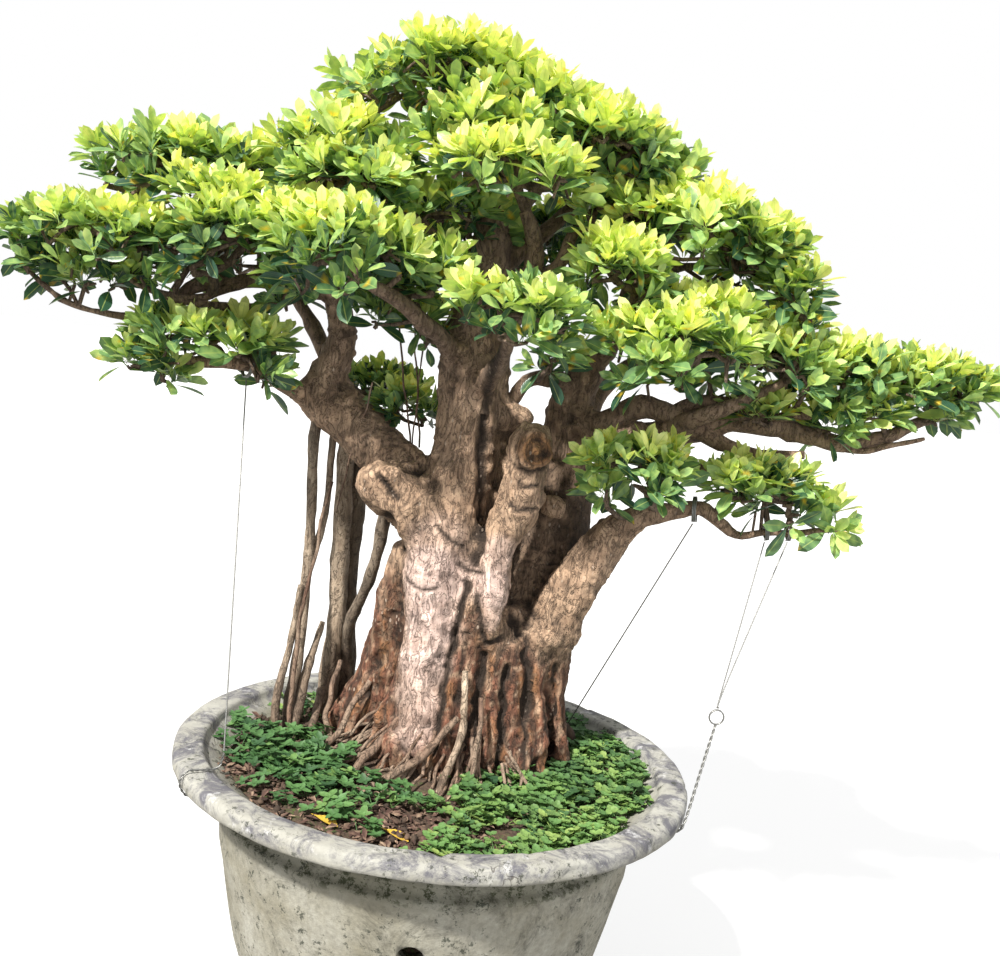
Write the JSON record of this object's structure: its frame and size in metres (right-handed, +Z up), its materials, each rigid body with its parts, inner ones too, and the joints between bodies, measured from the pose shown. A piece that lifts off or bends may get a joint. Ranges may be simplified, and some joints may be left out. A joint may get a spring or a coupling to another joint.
{
  "type": "potted bonsai tree",
  "caption": "Large ficus bonsai with fused trunk columns, hanging aerial roots and tiered leaf pads, guyed by steel wires in a round concrete basin with a rolled rim.",
  "frame": {"origin": "centre of the basin's flat foot, on the surface that it stands on", "axes": "+Z up along the basin's axis, -Y towards the tree's display front, +X to the right seen from the front"},
  "size_m": [1.5015, 0.8433, 1.535],
  "materials": {
    "concrete": "weathered cast concrete, pitted, with grey-purple mould on the rim",
    "screen": "black moulded mesh disc",
    "gravel": "loose drainage gravel",
    "soil": "damp dark brown earth",
    "herbs": "low clover-like cover",
    "litter": "dry brown leaf and bark litter",
    "bark": "tan and pinkish bark, rust-red fibrous roots low down",
    "root_bark": "smooth grey-tan root bark",
    "leaves": "glossy oval leaves, yellow-green on top, dark green inside",
    "wire": "dull galvanised wire"
  },
  "bodies": {
    "root": {"pot": "concrete", "drain_screen_1": "screen", "drain_screen_2": "screen", "drain_screen_3": "screen", "gravel_layer": "gravel", "soil": "soil", "clover_mat": "herbs", "weed_clump": "herbs", "leaf_litter": "litter", "trunk_and_branches": "bark", "aerial_root_pale": "root_bark", "aerial_root_dark": "root_bark", "aerial_root_outer": "root_bark", "aerial_root_slim": "root_bark", "aerial_root_low": "root_bark", "aerial_root_arched": "root_bark", "surface_root_front": "root_bark", "foliage_crown_top": "leaves", "foliage_crown_front": "leaves", "foliage_crown_left": "leaves", "foliage_crown_right": "leaves", "foliage_left_upper": "leaves", "foliage_left_middle": "leaves", "foliage_left_inner": "leaves", "foliage_left_low": "leaves", "foliage_centre_left": "leaves", "foliage_centre_front": "leaves", "foliage_right_upper": "leaves", "foliage_right_inner": "leaves", "foliage_right_middle": "leaves", "foliage_right_far": "leaves", "foliage_right_near": "leaves", "foliage_right_low_inner": "leaves", "foliage_right_low_outer": "leaves", "foliage_back_left_low": "leaves", "foliage_back_left": "leaves", "foliage_back_middle": "leaves", "foliage_back_right": "leaves", "guy_wire_left": "wire", "rim_tie_left": "wire", "guy_wire_back": "wire", "guy_wire_right_outer": "wire", "guy_wire_right_inner": "wire", "rim_tie_right": "wire", "branch_tie_left": "wire", "branch_tie_back": "wire", "branch_tie_right_outer": "wire", "branch_tie_right_inner": "wire", "tension_eye": "wire"}
  },
  "joints": []
}
